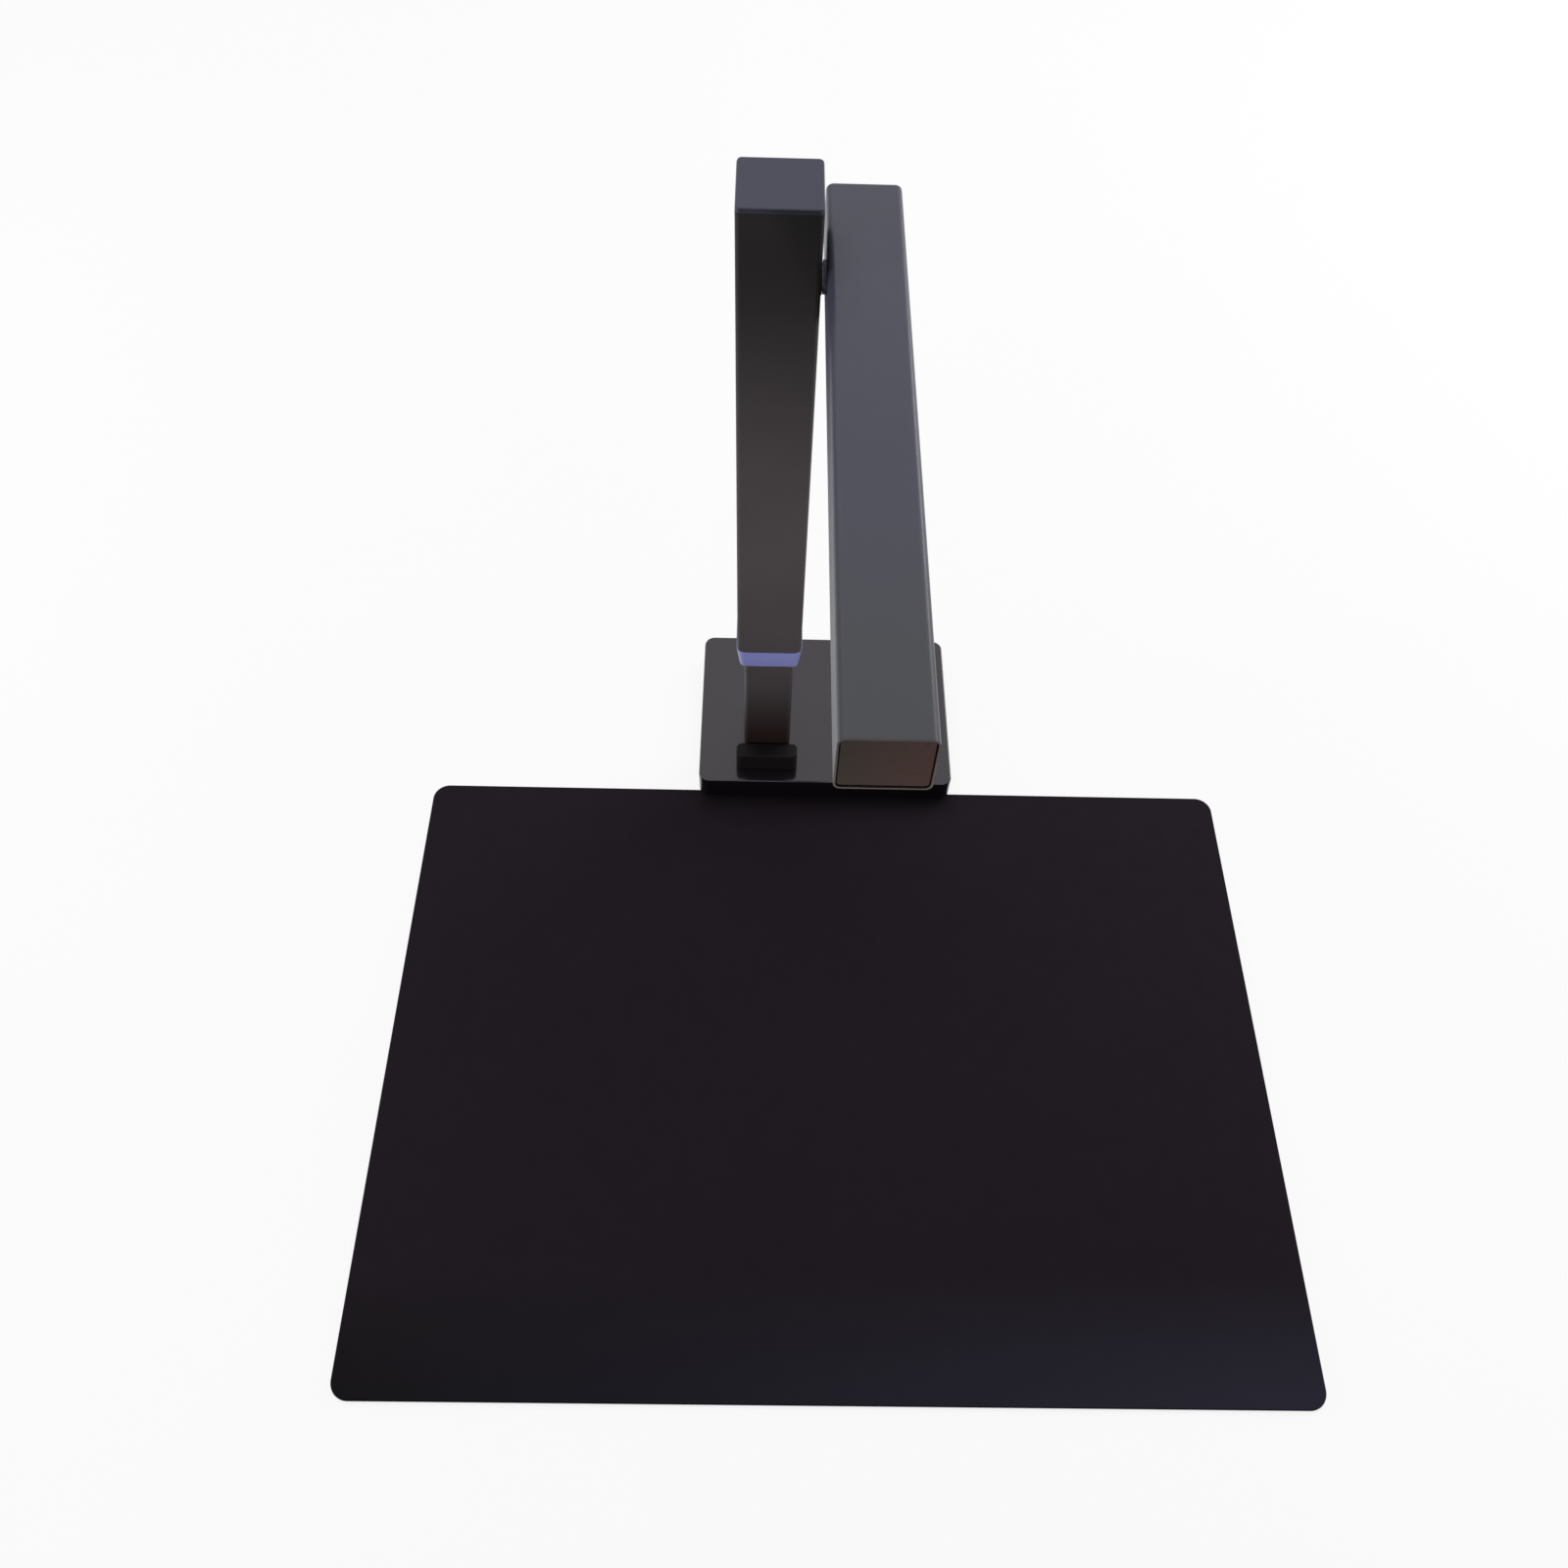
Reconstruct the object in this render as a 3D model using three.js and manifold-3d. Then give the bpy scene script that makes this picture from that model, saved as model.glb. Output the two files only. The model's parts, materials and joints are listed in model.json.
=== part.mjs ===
// Document camera scanner: a weighted base with a folding, telescoping mast, a camera arm that
// pivots on the mast's right side, and the mat that documents lie on.
// Millimetres. +X is the viewer's right, +Y the rear, +Z up; the table is the plane z = 0.
// The origin is the middle of the footprint of mat and base together.

import * as THREE from 'three';
import { mergeVertices } from 'three/addons/utils/BufferGeometryUtils.js';
import Module from 'manifold-3d';

const wasm = await Module();
wasm.setup();

// Clearances
const fitGap = 0.3;
const overrun = 4;
const weldTolerance = 0.001;

// Facets
const cornerSegments = 4;
const edgeSegments = 2;
const roundSegments = 28;
const smallSegments = 14;
const hexSides = 6;

// Document mat
const matWidth = 460;
const matDepth = 335;
const matThickness = 2;
const matCornerRadius = 9;
const matEdgeRound = 0.6;
const matTuck = 3.5;

// Base shell
const baseWidth = 148;
const baseDepth = 108;
const baseTop = 17;
const baseCornerRadius = 6;
const baseEdgeRound = 1.2;
const baseWall = 2.2;
const baseRoof = 2.6;

// Bottom plate, its bosses and screws
const bottomPlateThickness = 1.5;
const baseBossRadius = 4;
const baseBossInset = 10;
const baseScrewRadius = 1.5;
const baseScrewHeadRadius = 3;
const baseScrewHeadHeight = 1.5;
const baseScrewLength = 7;

// Rubber feet
const footRadius = 7;
const footInset = 21;
const footEdge = 0.8;
const footStemRadius = 2.2;
const footBarbRadius = 3;
const footBarbHeight = 1;

// Ballast
const weightWallGap = 4.8;
const weightBoardGap = 1.4;
const weightHeight = 8.4;
const weightCornerRadius = 4;

// Main board and the cable inlet
const boardWidth = 40;
const boardDepth = 58;
const boardThickness = 1.6;
const boardHang = 6.3;
const boardStandoffRadius = 2.5;
const boardStandoffInset = 5;
const boardScrewRadius = 1.1;
const boardScrewHeadRadius = 2.1;
const boardScrewHeadHeight = 1.2;
const boardScrewLength = 5;
const chipSize = 9;
const chipHeight = 1;
const socketWidth = 9;
const socketHeight = 3.3;
const socketDepth = 7.4;
const socketWall = 0.4;
const socketTongueThickness = 0.7;
const socketRecess = 0.8;

// Foot hinge bracket: a toe in front of the post, a sole under it and a tongue behind it
const toeFront = 9;
const toeWidth = 35.4;
const toeDepth = 10;
const toeRise = 12.3;
const toeCornerRadius = 3;
const toeEdgeRound = 1.2;
const toeGap = 0.4;
const soleWidth = 22;
const soleThickness = 3;
const tongueWidth = 11;
const hingeEyeRadius = 5.7;
const pinSetback = 4.7;
const bracketScrewRadius = 2;
const bracketScrewHeadRadius = 4;
const bracketScrewLength = 12;
const bracketScrewSpacing = 13;

// Hinge pin, nut and friction washers
const pinRadius = 2.5;
const pinHeadRadius = 3.9;
const pinHeadHeight = 1.8;
const pinNutRadius = 3.9;
const pinNutHeight = 2.2;
const frictionWasherRadius = 5.4;
const frictionWasherThickness = 0.9;

// Plug of the knuckle that carries the lower post
const plugLength = 16;
const plugScrewRadius = 1.6;
const plugScrewHeadRadius = 3;
const plugScrewHeadHeight = 1;
const plugScrewLength = 14;
const plugScrewRise = 8;

// Lower post
const postSize = 26.4;
const postWall = 1.5;
const postCornerRadius = 3;

// Telescoping: rest height of the collar's lower edge and the travel each way
const collarRestHeight = 103.5;
const slideUp = 45;
const slideDown = 45;
const glideLength = 30;
const glideLip = 1.5;
const glideOpening = 19;

// Collar
const collarHeight = 13.5;
const collarBottomSize = 31.4;
const collarTopSize = 35;
const collarCornerRadius = 5;
const collarSpigot = 25;

// Upper column and its cap
const columnSize = 33.6;
const columnWall = 1.8;
const columnCornerRadius = 2.2;
const columnLength = 256;
const columnCapThickness = 2;
const columnCapRound = 1.2;
const columnCapPlug = 8;
const columnCapPlugWall = 2;

// Stop block inside the column
const stopHeight = 9;
const stopCableRadius = 5;
const stopScrewRadius = 1.5;
const stopScrewHeadRadius = 2.8;
const stopScrewHeadHeight = 1;
const stopScrewLength = 9;

// Side pivot between column and arm
const pivotGap = 2.2;
const pivotDrop = 38.3;
const pivotAhead = 3;
const neckRadius = 4.2;
const bushFlangeRadius = 6.9;
const bushFlangeThickness = 0.6;
const bushSleeveRadius = 5.6;
const bushInnerReach = 1;
const armBossRadius = 6.6;
const axleFlangeRadius = 8;
const axleFlangeThickness = 2;
const axleRadius = 3.2;
const axleTail = 2.5;
const springWasherRadius = 6;
const springWasherThickness = 1.1;
const springWasherDish = 0.9;
const pivotWasherThickness = 1;
const pivotNutRadius = 6.2;
const pivotNutHeight = 4.5;

// Camera arm shell
const armWidth = 31;
const armHeight = 26.6;
const armWall = 1.8;
const armTopRadius = 3;
const armBottomRadius = 2.6;
const armTail = 42.4;
const armLedge = 1.2;
const armBossScrewRadius = 1.2;
const armScrewBossRadius = 3.2;
const armScrewHeadRadius = 2.4;
const armScrewLength = 9;
const armScrewAhead = 104;
const armScrewMiddle = 38;
const armScrewBehind = 24;

// Arm end caps, seated inside the rims of the shell
const armRimWall = 0.7;
const armCapRecess = 0.5;
const armCapThickness = 2.5;
const armCapRound = 0.4;
const armCapPlug = 3;
const armCapPlugWall = 2;

// Camera module
const boreRadius = 6;
const bezelRadius = 10;
const bezelProud = 0.5;
const bezelFlangeRadius = 11.3;
const bezelFlangeThickness = 0.8;
const windowRadius = 8;
const windowThickness = 1;
const windowSeatDepth = 1.3;
const barrelRimRadius = 7;
const barrelRimHeight = 3;
const barrelRadius = 5.8;
const barrelLength = 9.6;
const barrelBore = 4.6;
const barrelWindowGap = 0.9;
const lensCrown = 1.2;
const lensThickness = 1.6;
const holderSize = 15;
const holderHeight = 7;
const holderFoot = 1.6;
const holderFootWidth = 20;
const sensorBoardWidth = 25;
const sensorBoardDepth = 33;
const sensorBoardThickness = 1.2;
const sensorSize = 7;
const sensorHeight = 0.9;
const sensorBoardRise = 13.6;
const sensorPostRadius = 1.6;
const sensorPostInset = 2.2;
const connectorWidth = 12;
const connectorDepth = 5;
const connectorHeight = 3;

// Lamps on both sides of the lens
const lampSpacing = 26.4;
const lampCapGap = 0.5;
const lampWidth = 19;
const lampLength = 12;
const lampFlange = 1.1;
const lampFlangeThickness = 0.8;
const lampRib = 1.2;
const lampRibRise = 3;
const lampBoardThickness = 1;
const lampChipWidth = 3.5;
const lampChipDepth = 2.8;
const lampChipHeight = 0.7;
const lampChipShares = [-0.36, -0.12, 0.12, 0.36];

// Lamp button
const buttonAhead = 72;
const buttonRadius = 4;
const buttonProud = 0.9;
const buttonFlangeRadius = 5.2;
const buttonFlangeThickness = 1;
const buttonStemRadius = 1.6;
const buttonStemHeight = 1.2;
const buttonTravel = 0.8;
const switchSize = 6;
const switchHeight = 3.2;
const buttonBoardWidth = 20;
const buttonBoardDepth = 14;
const buttonBoardThickness = 1.2;
const buttonPostRadius = 1.6;

// Places that follow from the sizes above
const footprintDepth = matDepth - matTuck + baseDepth;
const baseFrontY = footprintDepth / 2 - baseDepth;
const shellHeight = baseTop - matThickness;
const roofUnder = baseTop - baseRoof;
const plateTop = matThickness + bottomPlateThickness;
const baseBossX = baseWidth / 2 - baseBossInset;
const mastY = toeFront + toeDepth + toeGap + postSize / 2;
const pinBehind = postSize / 2 + pinSetback;
const pinY = mastY + pinBehind;
const pinRise = hingeEyeRadius + 2 * fitGap;
const pinZ = baseTop + pinRise;
const columnX = -(armWidth / 2 + pivotGap + columnSize / 2);
const boreSize = postSize + 2 * fitGap;
const columnBore = columnSize - 2 * columnWall;
const sleeveSize = columnBore - 2 * fitGap;
const postBottom = hingeEyeRadius + fitGap;
const collarRise = collarRestHeight - pinZ;
const postTop = collarRise + collarHeight + collarSpigot + slideUp + fitGap + glideLength;
const stopRise = postTop + glideLip + slideDown + fitGap;
const columnTop = collarHeight + columnLength + columnCapThickness;
const pivotRise = columnTop - pivotDrop;
const lensReach = mastY - pivotAhead - (matTuck - matDepth / 2);
const lampReach = lampSpacing + lampLength / 2 + lampFlange;
const armRimDepth = armCapRecess + armCapThickness;
const armReach = lensReach + lampReach + lampCapGap + armCapPlug + armRimDepth;
const armLength = armReach + armTail;
const armUnder = -armHeight / 2;
const coverTop = armUnder + armWall;
const armInnerWidth = armWidth - 2 * armWall;
const armInnerHeight = armHeight - 2 * armWall;
const armInnerTopRadius = armTopRadius - armWall / 2;
const armInnerBottomRadius = armBottomRadius - armWall / 2;
const armMouthWidth = armWidth - 2 * armRimWall;
const armMouthHeight = armHeight - 2 * armRimWall;
const armBossHeight = pivotGap - bushFlangeThickness - fitGap;
const coverWidth = armInnerWidth - 2 * fitGap;
const coverLength = armLength - 2 * (armRimDepth + fitGap);
const boardCentreX = baseBossX - baseBossRadius - fitGap - boardWidth / 2;
const boardTop = roofUnder - boardHang;
const weightLeft = fitGap + baseBossRadius - baseBossX;
const weightRight = boardCentreX - boardWidth / 2 - weightBoardGap;
const weightWidth = weightRight - weightLeft;
const weightDepth = baseDepth - 2 * (baseWall + weightWallGap);
const boardRearY = baseDepth - baseWall - 2 * fitGap;

// Finishes
const finish = (color, roughness, metalness) =>
  new THREE.MeshStandardMaterial({ color, roughness, metalness });
const matRubber = finish('#211c21', 0.75, 0);
const glossyShell = finish('#232024', 0.2, 0);
const blackPaint = finish('#0e0d0f', 0.35, 0.1);
const greyPaint = finish('#4a4647', 0.5, 0.2);
const armPaint = finish('#545459', 0.5, 0.2);
const capBrown = finish('#3e342d', 0.3, 0.1);
const collarViolet = finish('#6c6a9b', 0.4, 0);
const blackPlastic = finish('#1b1a1c', 0.5, 0);
const rubber = finish('#161616', 0.85, 0);
const steel = finish('#9a9b9d', 0.35, 0.9);
const zincSteel = finish('#b4b6b8', 0.4, 0.8);
const paleNylon = finish('#d8d6cf', 0.55, 0);
const boardGreen = finish('#1f5a3a', 0.5, 0);
const lensGlass = finish('#1a2430', 0.05, 0);
const diffuserWhite = finish('#e9e7e0', 0.45, 0);

// Closed geometry to solid: shared corners welded, faces turned outward
function solid(geometry) {
  const bare = geometry.clone();
  bare.deleteAttribute('normal');
  bare.deleteAttribute('uv');
  const welded = mergeVertices(bare, weldTolerance);
  const corners = Array.from(welded.index.array);
  const facets = [];
  for (let start = 0; start < corners.length; start += 3) {
    const [a, b, c] = corners.slice(start, start + 3);
    if (a !== b && b !== c && c !== a) facets.push([a, b, c]);
  }
  const build = (list) => new wasm.Manifold(new wasm.Mesh({
    numProp: 3,
    vertProperties: new Float32Array(welded.attributes.position.array),
    triVerts: new Uint32Array(list.flat()),
  }));
  const body = build(facets);
  return body.volume() > 0 ? body : build(facets.map(([a, b, c]) => [a, c, b]));
}

const cut = (body, ...tools) => tools.reduce((rest, tool) => rest.subtract(tool), body);
const join = (...bodies) => bodies.reduce((whole, body) => whole.add(body));

// One named sub-part from a solid
function piece(name, body, material, x = 0, y = 0, z = 0) {
  const { vertProperties, triVerts } = body.getMesh();
  const geometry = new THREE.BufferGeometry();
  geometry.setAttribute('position', new THREE.BufferAttribute(new Float32Array(vertProperties), 3));
  geometry.setIndex(new THREE.BufferAttribute(new Uint32Array(triVerts), 1));
  geometry.computeVertexNormals();
  const mesh = new THREE.Mesh(geometry, material);
  mesh.name = name;
  mesh.position.set(x, y, z);
  return mesh;
}

// Group of meshes and groups, placed as one
function assembly(members, x = 0, y = 0, z = 0) {
  const group = new THREE.Group();
  group.add(...members);
  group.position.set(x, y, z);
  return group;
}

// Rectangle about the origin with a radius for the corners at +y and one for those at -y
function rectangle(width, depth, topRadius, bottomRadius = topRadius) {
  const x = width / 2;
  const y = depth / 2;
  const quarter = Math.PI / 2;
  const shape = new THREE.Shape();
  shape.moveTo(bottomRadius - x, -y);
  shape.lineTo(x - bottomRadius, -y);
  shape.absarc(x - bottomRadius, bottomRadius - y, bottomRadius, -quarter, 0);
  shape.lineTo(x, y - topRadius);
  shape.absarc(x - topRadius, y - topRadius, topRadius, 0, quarter);
  shape.lineTo(topRadius - x, y);
  shape.absarc(topRadius - x, y - topRadius, topRadius, quarter, 2 * quarter);
  shape.lineTo(-x, bottomRadius - y);
  shape.absarc(bottomRadius - x, bottomRadius - y, bottomRadius, 2 * quarter, 3 * quarter);
  return shape;
}

// Outline raised from z = 0
const raise = (shape, height) => new THREE.ExtrudeGeometry(shape, {
  depth: height, bevelEnabled: false, curveSegments: cornerSegments,
});

// Rounded rectangle raised from z = 0, its two end faces rounded over by edge
function pillow(width, depth, height, radius, edge, bottomRadius = radius) {
  const inner = rectangle(width - 2 * edge, depth - 2 * edge, radius - edge, bottomRadius - edge);
  const geometry = new THREE.ExtrudeGeometry(inner, {
    depth: height - 2 * edge,
    bevelThickness: edge,
    bevelSize: edge,
    bevelSegments: edgeSegments,
    curveSegments: cornerSegments,
  });
  return geometry.translate(0, 0, edge);
}

// Plain box and round bar, both standing on z = 0
const block = (width, depth, height) =>
  new THREE.BoxGeometry(width, depth, height).translate(0, 0, height / 2);
const bar = (radius, height, sides = smallSegments) =>
  new THREE.CylinderGeometry(radius, radius, height, sides)
    .rotateX(Math.PI / 2)
    .translate(0, 0, height / 2);

// Profile of [radius, z] points turned about z
const turned = (profile, sides = smallSegments) =>
  new THREE.LatheGeometry(profile.map(([r, z]) => new THREE.Vector2(r, z)), sides)
    .rotateX(Math.PI / 2);

// Turned ring: the profile closes on itself
const ring = (profile, sides = smallSegments) => turned([...profile, profile[0]], sides);

// The axis z laid along +x or +y
const alongX = (geometry) => geometry.rotateY(Math.PI / 2);
const alongY = (geometry) => geometry.rotateX(-Math.PI / 2);
const flipped = (geometry) => geometry.rotateX(Math.PI);

// Pan-head screw standing on its head: head below z = 0, shank above
const panScrew = (radius, length, headRadius, headHeight) => turned([
  [0, -headHeight],
  [headRadius - headHeight / 2, -headHeight],
  [headRadius, -headHeight / 2],
  [headRadius, 0],
  [radius, 0],
  [radius, length],
  [0, length],
]);

// Countersunk screw: flush face at z = 0, cone and shank above
const sunkScrew = (radius, length, headRadius) => turned([
  [0, 0],
  [headRadius, 0],
  [radius, headRadius - radius],
  [radius, length],
  [0, length],
]);

// Space for a countersunk screw, with clearance all round, open below z = 0
const sunkHole = (radius, length, headRadius) => turned([
  [0, -overrun],
  [headRadius + fitGap, -overrun],
  [headRadius + fitGap, 0],
  [radius + fitGap, headRadius - radius],
  [radius + fitGap, length + fitGap],
  [0, length + fitGap],
]);

function documentMat() {
  const sheet = pillow(matWidth, matDepth, matThickness, matCornerRadius, matEdgeRound);
  return piece('document_mat', solid(sheet), matRubber, 0, matTuck - matDepth / 2, 0);
}

// Base pieces share a frame: the middle of the base's front edge, on the table
const baseScrewPlaces = [-1, 1].flatMap((side) => [
  ['front', side, baseBossInset],
  ['rear', side, baseDepth - baseBossInset],
]);
const boardStandoffPlaces = [-1, 1].map((side) => [
  boardCentreX + side * (boardWidth / 2 - boardStandoffInset),
  boardRearY - boardDepth + boardStandoffInset,
]);
const bracketScrewPlaces = [mastY - bracketScrewSpacing / 2, mastY + bracketScrewSpacing / 2];
const sideName = (side) => (side < 0 ? 'left' : 'right');

function baseShell() {
  const outer = pillow(
    baseWidth, baseDepth, shellHeight + overrun, baseCornerRadius, baseEdgeRound,
  ).translate(0, baseDepth / 2, matThickness - overrun);
  const below = block(2 * baseWidth, 2 * baseDepth, 2 * overrun)
    .translate(0, baseDepth / 2, matThickness - 2 * overrun);
  const cavity = raise(
    rectangle(baseWidth - 2 * baseWall, baseDepth - 2 * baseWall, baseCornerRadius - baseWall),
    roofUnder - matThickness + overrun,
  ).translate(0, baseDepth / 2, matThickness - overrun);
  const bosses = baseScrewPlaces.map(([, side, y]) => solid(
    bar(baseBossRadius, roofUnder - plateTop + baseRoof / 2).translate(side * baseBossX, y, plateTop),
  ));
  const standoffs = boardStandoffPlaces.map(([x, y]) => solid(
    bar(boardStandoffRadius, boardHang + baseRoof / 2).translate(x, y, boardTop),
  ));
  const bossHoles = baseScrewPlaces.map(([, side, y]) => solid(
    bar(baseScrewRadius + fitGap, baseScrewLength + fitGap).translate(side * baseBossX, y, matThickness),
  ));
  const standoffHoles = boardStandoffPlaces.map(([x, y]) => solid(
    bar(boardScrewRadius + fitGap, boardScrewLength + fitGap)
      .translate(x, y, boardTop - boardThickness),
  ));
  const bracketHoles = bracketScrewPlaces.map((y) => solid(
    bar(bracketScrewRadius + fitGap, baseRoof + 2 * overrun)
      .translate(columnX, y, roofUnder - overrun),
  ));
  const socketMouth = solid(
    block(socketWidth + 2 * fitGap, baseWall + 2 * overrun, socketHeight + 2 * fitGap)
      .translate(boardCentreX, baseDepth, boardTop - fitGap),
  );
  const shell = cut(solid(outer), solid(below), solid(cavity));
  return piece(
    'base_shell',
    cut(join(shell, ...bosses, ...standoffs), ...bossHoles, ...standoffHoles, ...bracketHoles, socketMouth),
    glossyShell,
  );
}

function bottomPlate() {
  const sheet = raise(
    rectangle(
      baseWidth - 2 * (baseWall + fitGap),
      baseDepth - 2 * (baseWall + fitGap),
      baseCornerRadius - baseWall - fitGap,
    ),
    bottomPlateThickness,
  ).translate(0, baseDepth / 2, matThickness);
  const hole = (radius, x, y) => solid(
    bar(radius + fitGap, bottomPlateThickness + 2 * overrun).translate(x, y, matThickness - overrun),
  );
  const screwHoles = baseScrewPlaces.map(([, side, y]) => hole(baseScrewRadius, side * baseBossX, y));
  const footHoles = footPlaces().map(([, x, y]) => hole(footStemRadius, x, y));
  return piece('base_bottom_plate', cut(solid(sheet), ...screwHoles, ...footHoles), zincSteel);
}

// Foot centres: one near each corner
function footPlaces() {
  const x = baseWidth / 2 - footInset;
  return [-1, 1].flatMap((side) => [
    [`front_${sideName(side)}`, side * x, footInset - footRadius],
    [`rear_${sideName(side)}`, side * x, baseDepth - footInset + footRadius],
  ]);
}

function rubberFeet() {
  const stemTop = plateTop + fitGap;
  return footPlaces().map(([place, x, y]) => {
    const body = turned([
      [0, 0],
      [footRadius - footEdge, 0],
      [footRadius, footEdge],
      [footRadius, matThickness],
      [footStemRadius, matThickness],
      [footStemRadius, stemTop],
      [footBarbRadius, stemTop],
      [footStemRadius, stemTop + footBarbHeight],
      [0, stemTop + footBarbHeight],
    ]);
    return piece(`base_foot_${place}`, solid(body), rubber, x, y, 0);
  });
}

function baseScrews() {
  const screw = solid(
    panScrew(baseScrewRadius, baseScrewLength, baseScrewHeadRadius, baseScrewHeadHeight),
  );
  return baseScrewPlaces.map(([place, side, y]) => piece(
    `base_screw_${place}_${sideName(side)}`, screw, steel, side * baseBossX, y, matThickness,
  ));
}

function ballast() {
  const x = (weightLeft + weightRight) / 2;
  const y = baseDepth / 2;
  const slab = raise(rectangle(weightWidth, weightDepth, weightCornerRadius), weightHeight);
  const holes = bracketScrewPlaces.map((place) => solid(
    bar(bracketScrewRadius + fitGap, weightHeight + 2 * overrun)
      .translate(columnX - x, place - y, -overrun),
  ));
  return piece('base_ballast', cut(solid(slab), ...holes), steel, x, y, roofUnder - weightHeight);
}

function mainBoard() {
  const sheet = solid(block(boardWidth, boardDepth, boardThickness)
    .translate(0, 0, -boardThickness));
  const chip = solid(block(chipSize, chipSize, chipHeight + boardThickness / 2)
    .translate(0, 0, -boardThickness / 2));
  const holes = boardStandoffPlaces.map(([x, y]) => solid(
    bar(boardScrewRadius + fitGap, boardThickness + 2 * overrun)
      .translate(x - boardCentreX, y - boardRearY + boardDepth / 2, -boardThickness - overrun),
  ));
  return piece(
    'main_board', cut(join(sheet, chip), ...holes), boardGreen,
    boardCentreX, boardRearY - boardDepth / 2, boardTop,
  );
}

function boardScrews() {
  const screw = solid(
    panScrew(boardScrewRadius, boardScrewLength, boardScrewHeadRadius, boardScrewHeadHeight),
  );
  return boardStandoffPlaces.map(([x, y], count) => piece(
    `main_board_screw_${count + 1}`, screw, steel, x, y, boardTop - boardThickness,
  ));
}

// Cable inlet: a flat metal mouth with a tongue inside, open to the rear
function cableSocket() {
  const mouth = (width, height) => rectangle(width, height, height / 2);
  const can = solid(alongY(raise(mouth(socketWidth, socketHeight), socketDepth)));
  const hollow = solid(alongY(raise(
    mouth(socketWidth - 2 * socketWall, socketHeight - 2 * socketWall), socketDepth,
  )).translate(0, socketWall, 0));
  const tongue = solid(
    block(socketWidth / 2, socketDepth - socketRecess, socketTongueThickness)
      .translate(0, (socketDepth - socketRecess) / 2, -socketTongueThickness / 2),
  );
  return piece(
    'cable_socket', join(cut(can, hollow), tongue), zincSteel,
    boardCentreX, baseDepth - socketRecess - socketDepth, boardTop + socketHeight / 2,
  );
}

// The bracket's pieces share a frame on the pin's axis, in the middle of the hinge
function hingeBracket() {
  const toeY = toeFront + toeDepth / 2 - pinY;
  const toe = pillow(toeWidth, toeDepth, toeRise + overrun, toeCornerRadius, toeEdgeRound)
    .translate(0, toeY, -pinRise - overrun);
  const below = block(2 * toeWidth, 2 * toeDepth, 2 * overrun)
    .translate(0, toeY, -pinRise - 2 * overrun);
  const strip = (width, rearY) => solid(
    block(width, rearY - toeY, soleThickness).translate(0, (rearY + toeY) / 2, -pinRise),
  );
  const side = new THREE.Shape();
  side.moveTo(-hingeEyeRadius, -pinRise);
  side.lineTo(hingeEyeRadius, -pinRise);
  side.absarc(0, 0, hingeEyeRadius, 0, Math.PI);
  const tongue = raise(side, tongueWidth)
    .rotateX(Math.PI / 2)
    .rotateZ(Math.PI / 2)
    .translate(-tongueWidth / 2, 0, 0);
  const pinBore = alongX(bar(pinRadius + fitGap, tongueWidth + 2 * overrun))
    .translate(-tongueWidth / 2 - overrun, 0, 0);
  const screwHoles = bracketScrewPlaces.map((y) => solid(
    flipped(sunkHole(bracketScrewRadius, bracketScrewLength, bracketScrewHeadRadius))
      .translate(0, y - pinY, soleThickness - pinRise),
  ));
  const sole = strip(soleWidth, -hingeEyeRadius - fitGap);
  const spine = strip(tongueWidth, hingeEyeRadius);
  const body = cut(
    join(cut(solid(toe), solid(below)), sole, spine, solid(tongue)), solid(pinBore), ...screwHoles,
  );
  return piece('hinge_bracket', body, blackPaint);
}

function bracketScrews() {
  const screw = solid(
    flipped(sunkScrew(bracketScrewRadius, bracketScrewLength, bracketScrewHeadRadius)),
  );
  return bracketScrewPlaces.map((y, count) => piece(
    `bracket_screw_${count + 1}`, screw, steel, 0, y - pinY, soleThickness - pinRise,
  ));
}

// Flat ring along x from x = 0
const flatWasher = (radius, bore, thickness) => solid(alongX(ring([
  [bore, 0],
  [radius, 0],
  [radius, thickness],
  [bore, thickness],
])));

function frictionWashers() {
  const washer = flatWasher(frictionWasherRadius, pinRadius + fitGap, frictionWasherThickness);
  const inner = tongueWidth / 2;
  return [
    piece('hinge_washer_left', washer, paleNylon, -inner - frictionWasherThickness, 0, 0),
    piece('hinge_washer_right', washer, paleNylon, inner, 0, 0),
  ];
}

// The lower mast's pieces share a frame on the post's axis, at the height of the pin
function hingePin() {
  const length = postSize - fitGap;
  const body = turned([
    [0, 0],
    [pinHeadRadius, 0],
    [pinHeadRadius, pinHeadHeight],
    [pinRadius, pinHeadHeight],
    [pinRadius, length],
    [0, length],
  ]);
  return piece('hinge_pin', solid(alongX(body)), steel, fitGap - postSize / 2, pinBehind, 0);
}

function hexNut(radius, height, boltRadius) {
  const nut = bar(radius, height, hexSides);
  const hole = bar(boltRadius + fitGap, height + 2 * overrun).translate(0, 0, -overrun);
  return cut(solid(alongX(nut)), solid(alongX(hole)));
}

const hingeNut = () => piece(
  'hinge_pin_nut', hexNut(pinNutRadius, pinNutHeight, pinRadius), steel,
  postSize / 2 - pinNutHeight - fitGap, pinBehind, 0,
);

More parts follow.
